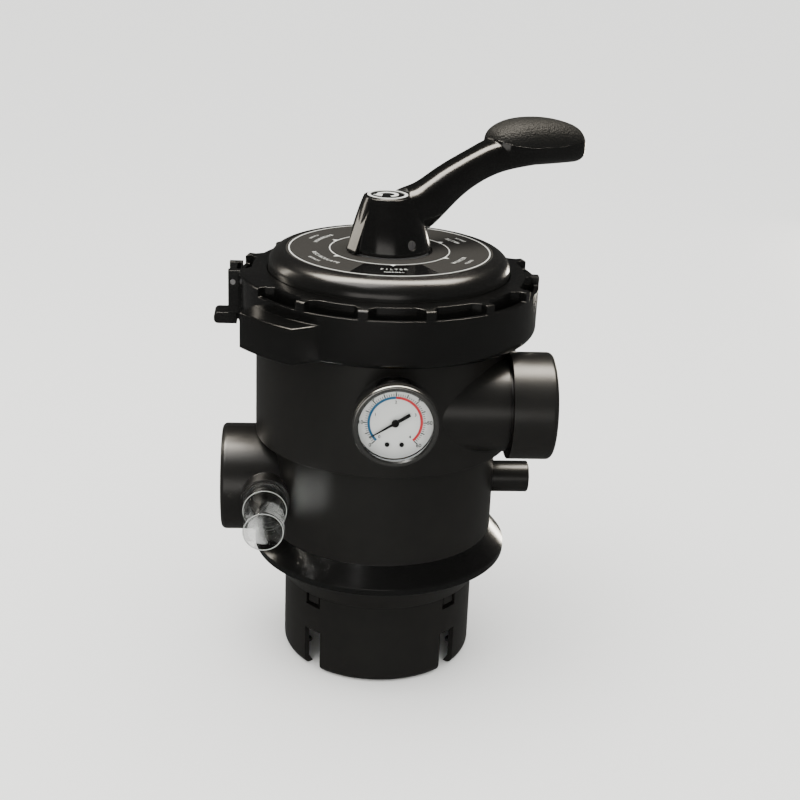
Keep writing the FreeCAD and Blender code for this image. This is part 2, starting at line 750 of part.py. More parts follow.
def lever_section(station):
    """Flattened oval section of the lever, drawn across its length."""
    x, low, high, half = station
    middle = lid_top_z + (low + high) / 2
    rise = (high - low) / 2
    points = []
    for i in range(16):
        a = 2 * math.pi * i / 16
        c, s = math.cos(a), math.sin(a)
        y = half * math.copysign(abs(c) ** 0.8, c)
        z = rise * math.copysign(abs(s) ** 0.8, s)
        points.append(V(x, y, middle + z))
    curve = Part.BSplineCurve()
    curve.interpolate(points, PeriodicFlag=True)
    return Part.Wire([curve.toShape()])


def lofted(stations):
    return Part.makeLoft([lever_section(s) for s in stations], True, False)


def hub_outside():
    wires = [Part.Wire([Part.makeCircle(r, V(-lean, 0, lid_top_z + z), V(0, 0, 1))]) for z, r, lean in hub_levels]
    return Part.makeLoft(wires[:2], True, True).fuse(Part.makeLoft(wires[1:], True, False)).removeSplitter()


def handle_outside():
    """Hub, pointer ridge, lever and grip as one moulding, along +X."""
    back = -hub_foot_radius - 2.4
    crest = -hub_levels[-1][1] - hub_lean
    side = Part.makePolygon([V(-8, -4.5, hub_top_z - 1.6), V(crest, -4.5, hub_top_z - 1.6),
                             V(back, -4.5, hub_low_z + 1.5), V(back, -4.5, hub_low_z),
                             V(-8, -4.5, hub_low_z), V(-8, -4.5, hub_top_z - 1.6)])
    ridge = Part.Face(side).extrude(V(0, 9, 0))
    return fused(hub_outside(), ridge, lofted(lever_stations), lofted(grip_stations))


def pad_region():
    """Everything above the pad's line."""
    ceiling = lid_top_z + 90
    corners = [V(x, -40, lid_top_z + z) for x, z in pad_line]
    corners += [V(150, -40, ceiling), V(60, -40, ceiling), corners[0]]
    return Part.Face(Part.makePolygon(corners)).extrude(V(0, 80, 0))


def handle():
    hollow = block((-head_half_length - 3.5, -head_half_width - 0.7, hub_low_z - 1),
                   (head_half_length + 3.5, head_half_width + 0.7, head_top_z + 3.2))
    relief = rod(stem_radius + 1.8, (0, 0, hub_low_z - 1), (0, 0, hub_low_z + 3.0))
    recess = rod(cap_radius + 0.1, (-hub_lean, 0, hub_top_z - cap_thickness + 0.4), (-hub_lean, 0, hub_top_z + 20))
    pin_way = rod(pin_radius + RUNNING, (0, -40, pin_z), (0, 40, pin_z))
    pad = lofted(grip_stations).common(pad_region())
    shape = carved(handle_outside(), hollow, relief, recess, pin_way, pad)
    return about_z(shape, handle_turn)


def grip_pad():
    return about_z(lofted(grip_stations).common(pad_region()), handle_turn)


def hub_cap():
    low = hub_top_z - cap_thickness + 0.4
    disc = turned((0, low), (cap_radius, low), (cap_radius, hub_top_z + 0.1), (cap_radius - 0.5, hub_top_z + 0.4),
                  (0, hub_top_z + 0.7))
    disc.translate(V(-hub_lean, 0, 0))
    return about_z(disc, handle_turn)


# ================================================================== pressure gauge
# Drawn with +X to the right, +Y up and +Z towards the viewer, then turned to face -Y.
def gauge_case():
    front = gauge_back + gauge_depth
    return turned((gauge_thread + 0.4, gauge_back), (gauge_radius - 1.5, gauge_back),
                  ("arc", (gauge_radius - 0.44, gauge_back + 0.44), (gauge_radius, gauge_back + 1.5)),
                  (gauge_radius, front), (gauge_radius - case_wall, front),
                  (gauge_radius - case_wall, gauge_back + case_wall), (gauge_thread + 0.4, gauge_back + case_wall))


def gauge_bezel():
    back = bezel_front - bezel_length
    return turned((gauge_radius + 0.05, back), (bezel_radius, back), (bezel_radius, bezel_front - 1.2),
                  ("arc", (bezel_radius - 0.35, bezel_front - 0.35), (bezel_radius - 1.2, bezel_front)),
                  (bezel_opening + 0.8, bezel_front), (bezel_opening, bezel_front - 0.7),
                  (bezel_opening, bezel_front - 1.3), (gauge_radius + 0.05, bezel_front - 1.3))


def gauge_lens():
    front = bezel_front - 1.3 - 0.02
    return sector(0.0, gauge_radius - 0.1, front - 0.6, front)


def gauge_dial():
    disc = sector(0.0, dial_radius, dial_depth - dial_thickness, dial_depth)
    holes = [rod(0.95, (x, screw_y, dial_depth - 2), (x, screw_y, dial_depth + 1)) for x in (-screw_x, screw_x)]
    return carved(disc, rod(1.2, (0, 0, dial_depth - 2), (0, 0, dial_depth + 1)), *holes)


def dial_screws():
    screws = []
    for x in (-screw_x, screw_x):
        shank = rod(0.7, (x, screw_y, dial_depth - 1.4), (x, screw_y, dial_depth + 0.05))
        head = rod(1.2, (x, screw_y, dial_depth + 0.02), (x, screw_y, dial_depth + 0.7))
        slot = block((x - 2, screw_y - 0.15, dial_depth + 0.45), (x + 2, screw_y + 0.15, dial_depth + 1))
        screws.append(shank.fuse(head).cut(slot))
    return Part.makeCompound(screws)


def gauge_pointer():
    plane = dial_depth + 0.9
    blade = Part.Face(Part.makePolygon([V(0, -0.75, plane), V(-pointer_length, -0.18, plane),
                                        V(-pointer_length, 0.18, plane), V(0, 0.75, plane),
                                        V(0, -0.75, plane)])).extrude(V(0, 0, 0.35))
    tail = block((0, -0.95, plane), (pointer_tail, 0.95, plane + 0.35))
    boss = rod(2.0, (0, 0, plane - 0.2), (0, 0, plane + 1.1))
    shape = fused(blade, tail, boss).cut(rod(0.6, (0, 0, plane - 2), (0, 0, plane + 0.9)))
    return shape


def pinion_shaft():
    shaft = rod(0.6, (0, 0, gauge_back + 3.6), (0, 0, dial_depth + 1.7))
    drum = rod(pinion_radius, (0, 0, gauge_back + 6.0), (0, 0, gauge_back + 7.6))
    return shaft.fuse(drum)


def movement_plates():
    plates = []
    for low, foot in ((gauge_back + 4.0, -12.0), (gauge_back + 9.4, -13.8)):
        plates.append(block((-5.5, foot, low), (5.5, 4.5, low + 0.8)))
    pillars = [rod(0.9, (x, y, gauge_back + 4.4), (x, y, gauge_back + 9.8))
               for x, y in ((-4.4, 3.4), (4.4, 3.4), (-4.4, -10.9), (4.4, -10.9))]
    shape = fused(plates[0], plates[1], *pillars)
    ways = [rod(0.65, (0, 0, gauge_back), (0, 0, gauge_back + 12)),
            rod(0.75, (0, sector_pivot_y(), gauge_back), (0, sector_pivot_y(), gauge_back + 12))]
    screws = [rod(0.72, (x, screw_y, gauge_back + 8), (x, screw_y, gauge_back + 12)) for x in (-screw_x, screw_x)]
    return carved(shape, *ways, *screws)


def sector_pivot_y():
    return -(sector_radius + pinion_radius + SEAT)


def sector_gear():
    low = gauge_back + 6.1
    fan = turned((0, low), (sector_radius, low), (sector_radius, low + 1.4), (0, low + 1.4),
                 angle=sector_span, start=90 - sector_span / 2)
    tail = block((-0.9, -sector_arm - 0.6, low), (0.9, 0.4, low + 1.4))
    shaft = rod(0.7, (0, 0, gauge_back + 4.2), (0, 0, gauge_back + 10.0))
    pin = rod(0.45, (0, -sector_arm, low - 1.2), (0, -sector_arm, low + 1.4))
    shape = about_z(fused(fan, tail, shaft, pin), -sector_swing / 2)
    shape.translate(V(0, sector_pivot_y(), 0))
    return shape


def sector_pin():
    """Where the sector's arm holds the link with the gauge at zero."""
    half = math.radians(sector_swing / 2)
    return -sector_arm * math.sin(half), sector_pivot_y() - sector_arm * math.cos(half)


def bourdon_tip():
    return (-9.5, sector_pin()[1])


def bourdon_link():
    low = gauge_back + 5.0
    x_tip, y = bourdon_tip()
    x_pin = sector_pin()[0]
    bar = block((x_tip - 2.5, y - 0.9, low), (x_pin + 1.1, y + 0.9, low + 0.8))
    hole = rod(0.6, (x_pin, y, low - 1), (x_pin, y, low + 2))
    slot = block((x_tip - 1.8, y - 0.5, low - 1), (x_tip + 0.5, y + 0.5, low + 2))
    return carved(bar, hole, slot)


def bourdon_tube():
    low = gauge_back + 3.0
    arc = sector(tube_radius - 0.6, tube_radius + 0.6, low, low + 3.4, 72, 138)
    x_tip, y_tip = bourdon_tip()
    end = polar(tube_radius, 72 + 138)
    foot = block((end.x - 0.6, y_tip - 0.9, low), (x_tip + 0.7, end.y + 0.9, low + 1.4))
    pin = rod(0.4, (x_tip, y_tip, low + 0.2), (x_tip, y_tip, low + 3.2))
    return fused(arc, foot, pin)


def gauge_socket():
    thread = rod(gauge_thread - RUNNING, (0, 0, upper_radius - 6), (0, 0, gauge_boss_reach + 0.8))
    hexagon = Part.Face(Part.makePolygon([polar(gauge_hex / math.sqrt(3), 60 * i + 30, gauge_boss_reach + 0.6)
                                          for i in range(7)])).extrude(V(0, 0, gauge_back - gauge_boss_reach - 0.7))
    spine = rod(gauge_thread, (0, 0, gauge_back - 0.2), (0, 0, gauge_back + 2.6))
    arm = block((-3, -tube_radius - 2.5, gauge_back + 1.1), (3, 0, gauge_back + 2.6))
    foot = block((3.0, -tube_radius - 2.5, gauge_back + 1.1), (6.5, -tube_radius + 3.2, gauge_back + 6.6))
    shape = fused(thread, hexagon, spine, arm, foot)
    return carved(shape, rod(2.0, (0, 0, upper_radius - 8), (0, 0, gauge_back + 0.5)), bourdon_tube())


def gauge_seal():
    return sector(gauge_thread + 0.1, gauge_thread + 2.4, gauge_boss_reach + 0.05, gauge_boss_reach + 0.55)


def hairspring():
    """Flat spiral of half turns between the movement and the dial."""
    low = gauge_back + 10.3
    pitch = 0.7
    last = 1.3 + pitch * 3
    pieces = [block((last - 0.5, -0.35, low - 0.1), (last + 0.5, 0.35, low + 0.45))]
    for i in range(7):
        radius = 1.3 + pitch / 2 * i
        centre = pitch / 4 if i % 2 else -pitch / 4
        half = sector(radius - 0.11, radius + 0.11, low, low + 0.45, 90 if i % 2 == 0 else 270, 90)
        half.translate(V(centre, 0, 0))
        pieces.append(half)
    return fused(*pieces)


# ================================================================== sight glass and drain plug
def sight_gasket():
    return sector(sight_radius - sight_wall + 0.2, sight_nut_radius - 0.4, sight_boss_reach,
                  sight_boss_reach + 1.2)


def sight_nut():
    low = sight_boss_reach + 1.25
    high = low + sight_nut_length
    bore = sight_radius + 0.1
    return turned((bore, low), (sight_nut_radius, low), (sight_nut_radius, high - 0.8),
                  (sight_nut_radius - 0.8, high), (bore, high))


def sight_glass():
    low = sight_boss_reach + 1.25
    bore = sight_radius - sight_wall
    edge = 1.4
    turn = edge * (1 - math.sqrt(0.5))
    return turned((bore, low), (sight_radius, low), (sight_radius, sight_reach - edge),
                  ("arc", (sight_radius - turn, sight_reach - turn), (sight_radius - edge, sight_reach)),
                  (0, sight_reach), (0, sight_reach - 3.5), (bore, sight_reach - 3.5))


def drain_plug():
    seat = drain_reach - drain_sink
    shank = rod(drain_bore - SEAT, (lower_bore + 1, 0, drain_z), (seat + 1.5, 0, drain_z))
    head = rod(drain_head, (seat + 0.9, 0, drain_z), (drain_reach - 0.3, 0, drain_z))
    slot = block((drain_reach - 1.8, -0.8, drain_z - 10), (drain_reach + 1, 0.8, drain_z + 10))
    return carved(fused(shank, head), slot)


def drain_o_ring():
    ring = Part.makeTorus(drain_bore + 0.75, 0.43, V(0, 0, 0), V(0, 0, 1))
    return facing(ring, (1, 0, 0), (drain_reach - drain_sink + 0.45, 0, drain_z))


# ================================================================== build
save("valve_body", valve_body())
save("diffuser_neck", diffuser_neck())
save("flange_o_ring", flange_o_ring())
save("centre_pipe_seal", centre_pipe_seal())
save("spider_gasket", spider_gasket())
save("lid", lid())
save("lid_o_ring", lid_o_ring())
save("position_label", position_label())
save("stem_bush", stem_bush())
save("thrust_washer", thrust_washer())
save("lock_ring", lock_ring())
save("ring_latch", ring_latch())
save("latch_pin", latch_pin())
save("latch_spring", latch_spring())
save("rotor", rotor())
save("stem_o_rings", stem_o_rings())
save("spring_washer_lower", spring_washer_lower())
save("spring_washer_upper", spring_washer_upper())
save("rotor_spring", rotor_spring())
save("handle", handle())
save("handle_pin", handle_pin())
save("grip_pad", grip_pad())
save("hub_cap", hub_cap())
for part_name, maker in (("gauge_case", gauge_case), ("gauge_bezel", gauge_bezel), ("gauge_lens", gauge_lens),
                         ("gauge_dial", gauge_dial), ("dial_screws", dial_screws),
                         ("pinion_shaft", pinion_shaft), ("movement_plates", movement_plates),
                         ("sector_gear", sector_gear), ("bourdon_link", bourdon_link),
                         ("bourdon_tube", bourdon_tube), ("gauge_socket", gauge_socket),
                         ("gauge_seal", gauge_seal), ("hairspring", hairspring)):
    save(part_name, fronted(maker(), 0, gauge_z))
pointer_shape = gauge_pointer()
pointer_shape.rotate(V(0, 0, 0), V(0, 0, 1), 32)
save("gauge_pointer", fronted(pointer_shape, 0, gauge_z))
save("sight_glass_gasket", fronted(sight_gasket(), sight_x, waste_z))
save("sight_glass_nut", fronted(sight_nut(), sight_x, waste_z))
save("sight_glass", fronted(sight_glass(), sight_x, waste_z))
save("drain_plug", drain_plug())
save("drain_o_ring", drain_o_ring())
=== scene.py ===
# %% [markdown]
# This lesson dresses a pool filter's multiport valve. Its shape, size and joints come from a CAD model that
# is loaded as a fixed frame, in metres, with +Z up along the valve's axis and the pressure gauge facing -Y.
# What is left to make is what CAD does not hold: plastics, chrome and glass, the printed position ring and
# gauge face, the pad's dimples, the sight glass's rims, a floor, lights and a camera.

# %% Load the frame
import math
import bpy
from mathutils import Matrix, Vector


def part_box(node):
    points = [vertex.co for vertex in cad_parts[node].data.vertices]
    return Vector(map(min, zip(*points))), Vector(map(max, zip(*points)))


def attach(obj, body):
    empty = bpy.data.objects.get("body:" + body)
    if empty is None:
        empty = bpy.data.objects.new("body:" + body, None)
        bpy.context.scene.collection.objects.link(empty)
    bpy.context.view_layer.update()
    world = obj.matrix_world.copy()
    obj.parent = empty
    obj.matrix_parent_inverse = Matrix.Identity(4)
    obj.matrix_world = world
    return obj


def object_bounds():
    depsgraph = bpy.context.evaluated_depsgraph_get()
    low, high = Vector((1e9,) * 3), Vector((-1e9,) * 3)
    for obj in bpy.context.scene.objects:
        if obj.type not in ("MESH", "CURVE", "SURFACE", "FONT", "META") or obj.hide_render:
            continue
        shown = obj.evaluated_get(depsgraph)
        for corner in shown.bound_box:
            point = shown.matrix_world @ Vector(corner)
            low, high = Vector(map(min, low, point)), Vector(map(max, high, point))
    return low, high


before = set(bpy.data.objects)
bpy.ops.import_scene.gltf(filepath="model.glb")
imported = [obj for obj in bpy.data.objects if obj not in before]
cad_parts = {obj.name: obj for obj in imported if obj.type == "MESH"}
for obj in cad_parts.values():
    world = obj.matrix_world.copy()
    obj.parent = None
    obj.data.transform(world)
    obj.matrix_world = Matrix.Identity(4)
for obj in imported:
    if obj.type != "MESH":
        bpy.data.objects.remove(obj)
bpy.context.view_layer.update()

MM = 0.001

# %% [markdown]
# Most operators act on everything that is selected, so each new piece starts from an empty selection. Three
# small helpers keep the cells short: one clears the selection, one hands a finished piece to its body and
# materials, and one joins pieces that were made apart.

# %% Helpers for pieces
def clear():
    """Leave edit mode and select nothing."""
    if bpy.context.object and bpy.context.object.mode != "OBJECT":
        bpy.ops.object.mode_set(mode="OBJECT")
    bpy.ops.object.select_all(action="DESELECT")


def hand_over(piece, name, body, material):
    """Name a finished piece, bring its place into its mesh, and let it ride on a body."""
    clear()
    piece.name = name
    piece.data.name = name
    piece.select_set(True)
    bpy.context.view_layer.objects.active = piece
    bpy.ops.object.transform_apply(location=True, rotation=True, scale=True)
    piece.data.materials.clear()
    piece.data.materials.append(material)
    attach(piece, body)
    print(name, "faces:", len(piece.data.polygons))
    return piece


def joined(pieces):
    """Make one object of several."""
    clear()
    for piece in pieces:
        piece.select_set(True)
    bpy.context.view_layer.objects.active = pieces[0]
    if len(pieces) > 1:
        bpy.ops.object.join()
    return bpy.context.object


# %% [markdown]
# Colours are written as the sRGB hex values that a paint chart gives. The shader wants linear light, so one
# function turns them. Another adds a node, sets its values and links its inputs, so that each material
# below reads as a short list of steps.

# %% Helpers for materials
def linear(hex_colour):
    """sRGB hex to linear RGBA."""
    values = [int(hex_colour[i:i + 2], 16) / 255 for i in (1, 3, 5)]
    return [v / 12.92 if v <= 0.04045 else ((v + 0.055) / 1.055) ** 2.4 for v in values] + [1.0]


def add(tree, kind, links=None, **settings):
    """Add a node; settings go to its properties or its inputs, links join sockets to its inputs."""
    node = tree.nodes.new(kind)
    for key, value in settings.items():
        if hasattr(node, key):
            setattr(node, key, value)
        else:
            node.inputs[key.replace("_", " ")].default_value = value
    for key, socket in (links or {}).items():
        tree.links.new(socket, node.inputs[key])
    return node


def start_material(name, colour, **settings):
    """A material with a Principled shader and Object coordinates ready to use."""
    material = bpy.data.materials.new(name)
    material.use_nodes = True
    tree = material.node_tree
    shader = tree.nodes["Principled BSDF"]
    shader.inputs["Base Color"].default_value = linear(colour)
    for key, value in settings.items():
        shader.inputs[key.replace("_", " ")].default_value = value
    place = add(tree, "ShaderNodeTexCoord").outputs["Object"]
    return material, tree, shader, place


# %% [markdown]
# The valve's body and neck are injection-moulded ABS from a spark-eroded mould, which leaves a fine even
# grain less than a millimetre across. The grain breaks the reflection up into a soft grey sheen. A faint,
# wide change in roughness stands for the flow of the plastic and for handling. Moulded corners have a
# radius of about half a millimetre, and the Bevel node rounds the shading of the CAD model's sharp edges by
# that much.

# %% Satin ABS
FLOW_MARKS_MM = 38
DUST_MM = 9
ROUGHNESS_SPREAD = 0.03


def moulded_abs(name, colour, stain, roughness, grain_mm, grain_height_mm, corner_mm):
    """Black ABS: grain size, grain height and corner radius in millimetres."""
    material, tree, shader, place = start_material(name, colour, IOR=1.54)
    wide = add(tree, "ShaderNodeTexNoise", {"Vector": place}, Scale=1 / (FLOW_MARKS_MM * MM), Detail=3.0)
    rough = add(tree, "ShaderNodeMapRange", {"Value": wide.outputs["Fac"]}, From_Min=0.3, From_Max=0.7,
                To_Min=roughness - ROUGHNESS_SPREAD, To_Max=roughness + ROUGHNESS_SPREAD)
    tree.links.new(rough.outputs["Result"], shader.inputs["Roughness"])
    dust = add(tree, "ShaderNodeTexNoise", {"Vector": place}, Scale=1 / (DUST_MM * MM), Detail=5.0)
    tint = add(tree, "ShaderNodeMix", {"Factor": dust.outputs["Fac"]}, data_type="RGBA")
    tint.inputs["A"].default_value = linear(colour)
    tint.inputs["B"].default_value = linear(stain)
    tree.links.new(tint.outputs["Result"], shader.inputs["Base Color"])
    corner = add(tree, "ShaderNodeBevel", Radius=corner_mm * MM, samples=6)
    grain = add(tree, "ShaderNodeTexNoise", {"Vector": place}, Scale=1 / (grain_mm * MM), Detail=2.0)
    bump = add(tree, "ShaderNodeBump", {"Height": grain.outputs["Fac"], "Normal": corner.outputs["Normal"]},
               Strength=1.0, Distance=grain_height_mm * MM)
    tree.links.new(bump.outputs["Normal"], shader.inputs["Normal"])
    return material


satin_abs = moulded_abs("satin_moulded_abs", "#100f0e", "#151412", roughness=0.31, grain_mm=0.7,
                        grain_height_mm=0.03, corner_mm=0.5)
print("satin ABS nodes:", len(satin_abs.node_tree.nodes))

# %% [markdown]
# The handle, the lock ring and its catch come from polished moulds, so they are much shinier. Polished ABS
# still shows a little waviness, where thick walls have shrunk, which bends long reflections. That is the
# same recipe with a coarse, very shallow pattern in place of the grain. The lid lies between the two.

# %% Gloss ABS
gloss_abs = moulded_abs("polished_abs", "#070707", "#0b0b0a", roughness=0.18, grain_mm=9.0,
                        grain_height_mm=0.02, corner_mm=0.7)
lid_abs = moulded_abs("lid_abs", "#0b0b0a", "#0f0f0e", roughness=0.25, grain_mm=1.2,
                      grain_height_mm=0.012, corner_mm=0.4)
print("polished materials:", gloss_abs.name, lid_abs.name)

# %% [markdown]
# The thumb pad is moulded with small round dimples so that a wet hand does not slip. Voronoi cells give
# evenly spread rounded cells, 1.1 mm apart, and the distance to each cell's centre serves as height.

# %% Dimpled pad
DIMPLE_PITCH_MM = 1.1
DIMPLE_DEPTH_MM = 0.35
pad_abs, tree, shader, place = start_material("dimpled_pad_abs", "#11110f", IOR=1.3, Roughness=0.55)
cells = add(tree, "ShaderNodeTexVoronoi", {"Vector": place}, Scale=1 / (DIMPLE_PITCH_MM * MM))
dimples = add(tree, "ShaderNodeBump", {"Height": cells.outputs["Distance"]}, Strength=1.0,
              Distance=DIMPLE_DEPTH_MM * MM)
tree.links.new(dimples.outputs["Normal"], shader.inputs["Normal"])
print("pad dimples, mm apart:", DIMPLE_PITCH_MM)

# %% [markdown]
# Seals are nitrile rubber: matte, nearly black, with a dusty bloom. Bearings and washers are grey acetal,
# which is waxy and a little translucent, so it gets a touch of subsurface light.

# %% Rubber and acetal
def uneven_gloss(tree, shader, place, patch_mm, low, high, detail=3.0):
    """Let the roughness wander between two values, in patches of a size in millimetres."""
    patches = add(tree, "ShaderNodeTexNoise", {"Vector": place}, Scale=1 / (patch_mm * MM), Detail=detail)
    spread = add(tree, "ShaderNodeMapRange", {"Value": patches.outputs["Fac"]}, To_Min=low, To_Max=high)
    tree.links.new(spread.outputs["Result"], shader.inputs["Roughness"])
    return patches


nitrile, tree, shader, place = start_material("nitrile_rubber", "#161616", IOR=1.5)
uneven_gloss(tree, shader, place, patch_mm=4, low=0.6, high=0.85, detail=4.0)

acetal, tree, shader, place = start_material("grey_acetal", "#5c5c5b", IOR=1.48, Subsurface_Weight=0.05,
                                             Subsurface_Radius=(MM, MM, MM))
uneven_gloss(tree, shader, place, patch_mm=6, low=0.32, high=0.45)
print("seals and bearings:", nitrile.name, acetal.name)

# %% [markdown]
# The gauge's case is polished chrome and its bezel is brushed stainless steel. Metal shows almost only what
# it reflects; faint streaks from polishing or brushing keep it from looking like a perfect mirror. Springs
# and pins are drawn steel wire and bar, and the gauge's works are brass.

# %% Metals
def metal(name, colour, roughness, streak_mm, stretch, height_mm):
    """A metal with polishing or drawing marks, drawn out along the axis with the small stretch value."""
    material, tree, shader, place = start_material(name, colour, Metallic=1.0, Roughness=roughness)
    turned = add(tree, "ShaderNodeMapping", {"Vector": place})
    turned.inputs["Scale"].default_value = stretch
    marks = add(tree, "ShaderNodeTexNoise", {"Vector": turned.outputs["Vector"]}, Scale=1 / (streak_mm * MM))
    shine = add(tree, "ShaderNodeMapRange", {"Value": marks.outputs["Fac"]}, To_Min=roughness * 0.7,
                To_Max=roughness * 1.4)
    tree.links.new(shine.outputs["Result"], shader.inputs["Roughness"])
    bump = add(tree, "ShaderNodeBump", {"Height": marks.outputs["Fac"]}, Strength=0.6,
               Distance=height_mm * MM)
    tree.links.new(bump.outputs["Normal"], shader.inputs["Normal"])
    return material


chrome = metal("polished_chrome", "#d9dadd", 0.07, 0.9, (1, 0.2, 1), 0.004)
brushed_steel = metal("brushed_stainless_steel", "#8f8f8d", 0.22, 0.25, (1, 0.1, 1), 0.006)
drawn_steel = metal("drawn_spring_steel", "#9a9a9c", 0.3, 0.3, (1, 1, 0.1), 0.01)
brass = metal("turned_brass", "#c9a257", 0.26, 0.3, (1, 0.2, 1), 0.008)
print("metals:", [metal_kind.name for metal_kind in (chrome, brushed_steel, drawn_steel, brass)])

# %% [markdown]
# The sight glass and its nut are clear polycarbonate, thick enough to bend what is seen through them, so
# they get a refracting shader and a faint waviness, and let a good part of the light straight through. The
# gauge's lens is a flat sheet of glass, which bends nothing. It is made as a nearly clear skin, so that the
# dial behind it keeps its light.

# %% Clear plastics
RIPPLE_MM = 5.0
polycarbonate, tree, shader, place = start_material("clear_polycarbonate", "#f4f7f6", IOR=1.3, Alpha=0.32,
                                                    Transmission_Weight=1.0, Roughness=0.03)
ripple = add(tree, "ShaderNodeTexNoise", {"Vector": place}, Scale=1 / (RIPPLE_MM * MM))
bump = add(tree, "ShaderNodeBump", {"Height": ripple.outputs["Fac"]}, Strength=0.4, Distance=0.05 * MM)
tree.links.new(bump.outputs["Normal"], shader.inputs["Normal"])

lens_glass, tree, shader, place = start_material("gauge_lens_glass", "#0c0d0d", Alpha=0.10)
uneven_gloss(tree, shader, place, patch_mm=7, low=0.02, high=0.08)
print("clear materials:", polycarbonate.name, lens_glass.name)

# %% [markdown]
# Printed surfaces: the position ring is a matte charcoal film with a fine grain, its print is white ink,
# and one panel is glossy black ink. The gauge's dial is white enamel, printed in black, blue and red.

# %% Films and inks
def ink(name, colour, roughness, grain_mm=0.4, fade=0.08, ior=1.5):
    """A printed or enamelled layer with a slightly uneven surface."""
    material, tree, shader, place = start_material(name, colour, IOR=ior)
    grain = uneven_gloss(tree, shader, place, grain_mm, roughness - fade, roughness + fade)
    bump = add(tree, "ShaderNodeBump", {"Height": grain.outputs["Fac"]}, Strength=0.5, Distance=0.01 * MM)
    tree.links.new(bump.outputs["Normal"], shader.inputs["Normal"])
    return material


label_film = ink("charcoal_label_film", "#131312", 0.8, grain_mm=0.8, ior=1.32)
white_ink = ink("white_ink", "#d8d8d2", 0.5)
black_ink = ink("gloss_black_ink", "#0a0a0a", 0.2, fade=0.04)
dial_enamel = ink("white_dial_enamel", "#dfe1de", 0.45)
dial_black = ink("dial_black_print", "#202224", 0.5)
dial_blue = ink("dial_blue_print", "#0d5c84", 0.5)
dial_red = ink("dial_red_print", "#c81c2a", 0.5)
pointer_enamel = ink("pointer_black_enamel", "#0b0b0b", 0.35)
print("printed layers on the dial:", dial_black.name, dial_blue.name, dial_red.name)

# %% [markdown]
# The CAD nodes have the right shape already, so each only gets its material, by assigning to its object's
# slot.

# %% Materials on the CAD nodes
finishes = {
    satin_abs: ("valve_body", "diffuser_neck", "rotor", "drain_plug"),
    lid_abs: ("lid",),
    gloss_abs: ("lock_ring", "handle", "ring_latch"),
    pad_abs: ("grip_pad",),
    label_film: ("position_label",),
    black_ink: ("hub_cap",),
    nitrile: ("flange_o_ring", "centre_pipe_seal", "spider_gasket", "lid_o_ring", "stem_o_rings",
              "gauge_seal", "sight_glass_gasket", "drain_o_ring"),
    acetal: ("stem_bush", "thrust_washer"),
    drawn_steel: ("latch_pin", "latch_spring", "rotor_spring", "spring_washer_lower",
                  "spring_washer_upper", "handle_pin", "hairspring"),
    chrome: ("gauge_case",),
    brushed_steel: ("gauge_bezel",),
    brass: ("gauge_socket", "pinion_shaft", "movement_plates", "sector_gear", "bourdon_link",
            "bourdon_tube"),
    dial_enamel: ("gauge_dial",),
    pointer_enamel: ("gauge_pointer", "dial_screws"),
    polycarbonate: ("sight_glass", "sight_glass_nut"),
    lens_glass: ("gauge_lens",),
}
for material, nodes in finishes.items():
    for node in nodes:
        piece = bpy.data.objects[node]
        piece.data.materials.clear()
        piece.data.materials.append(material)
print("nodes dressed:", sum(len(nodes) for nodes in finishes.values()))

# %% [markdown]
# The clamp band slides on the flange's slope, so that part of the mould is polished. The slope's faces are
# picked out by their height and radius and get the polished plastic.

# %% Polished flange
SLOPE_LOW_MM, SLOPE_HIGH_MM, SLOPE_INNER_RADIUS_MM = -1.0, 14.4, 66.9
body = bpy.data.objects["valve_body"].data
body.materials.append(gloss_abs)
slope = [face for face in body.polygons
         if SLOPE_LOW_MM * MM < face.center.z < SLOPE_HIGH_MM * MM
         and face.center.xy.length > SLOPE_INNER_RADIUS_MM * MM]
for face in slope:
    face.material_index = 1
print("polished faces:", len(slope))

# %% [markdown]
# The print on the position ring and on the gauge's dial is made of thin flat pieces. Rings, arcs and panels
# are all bands of a circle: a circle's edge is extruded and scaled inwards to a flat band, the faces
# outside the wanted angle are deleted, and the band is extruded to the thickness of the ink.

# %% A flat band
CIRCLE_STEPS = 180


def band(r_in, r_out, z, middle=0.0, half=180.0, thickness=0.04):
    """Flat arc about Z, sizes in millimetres, angles in degrees."""
    clear()
    bpy.ops.mesh.primitive_circle_add(vertices=CIRCLE_STEPS, radius=r_out * MM, fill_type="NOTHING",
                                      location=(0, 0, 0))
    piece = bpy.context.object
    bpy.ops.object.mode_set(mode="EDIT")
    bpy.ops.mesh.select_all(action="SELECT")
    bpy.ops.mesh.extrude_edges_move()
    scale = r_in / r_out
    bpy.ops.transform.resize(value=(scale, scale, 1), center_override=(0, 0, 0))
    bpy.ops.object.mode_set(mode="OBJECT")
    if half < 180:
        for face in piece.data.polygons:
            angle = math.degrees(math.atan2(face.center.y, face.center.x))
            face.select = abs((angle - middle + 180) % 360 - 180) > half
        bpy.ops.object.mode_set(mode="EDIT")
        bpy.ops.mesh.delete(type="FACE")
        bpy.ops.object.mode_set(mode="OBJECT")
    bpy.ops.object.mode_set(mode="EDIT")
    bpy.ops.mesh.select_all(action="SELECT")
    bpy.ops.mesh.extrude_region_move(TRANSFORM_OT_translate={"value": (0, 0, thickness * MM)})
    bpy.ops.mesh.select_all(action="SELECT")
    bpy.ops.mesh.normals_make_consistent(inside=False)
    bpy.ops.object.mode_set(mode="OBJECT")
    piece.location.z = z * MM
    return piece


# %% [markdown]
# Words and numerals start as text objects. A text object is made a mesh first, and is then turned and moved
# to its place on the ring. Letters follow the circle one by one, each with its foot towards the rim.

# %% Letters
LETTER_THICKNESS_MM = 0.04


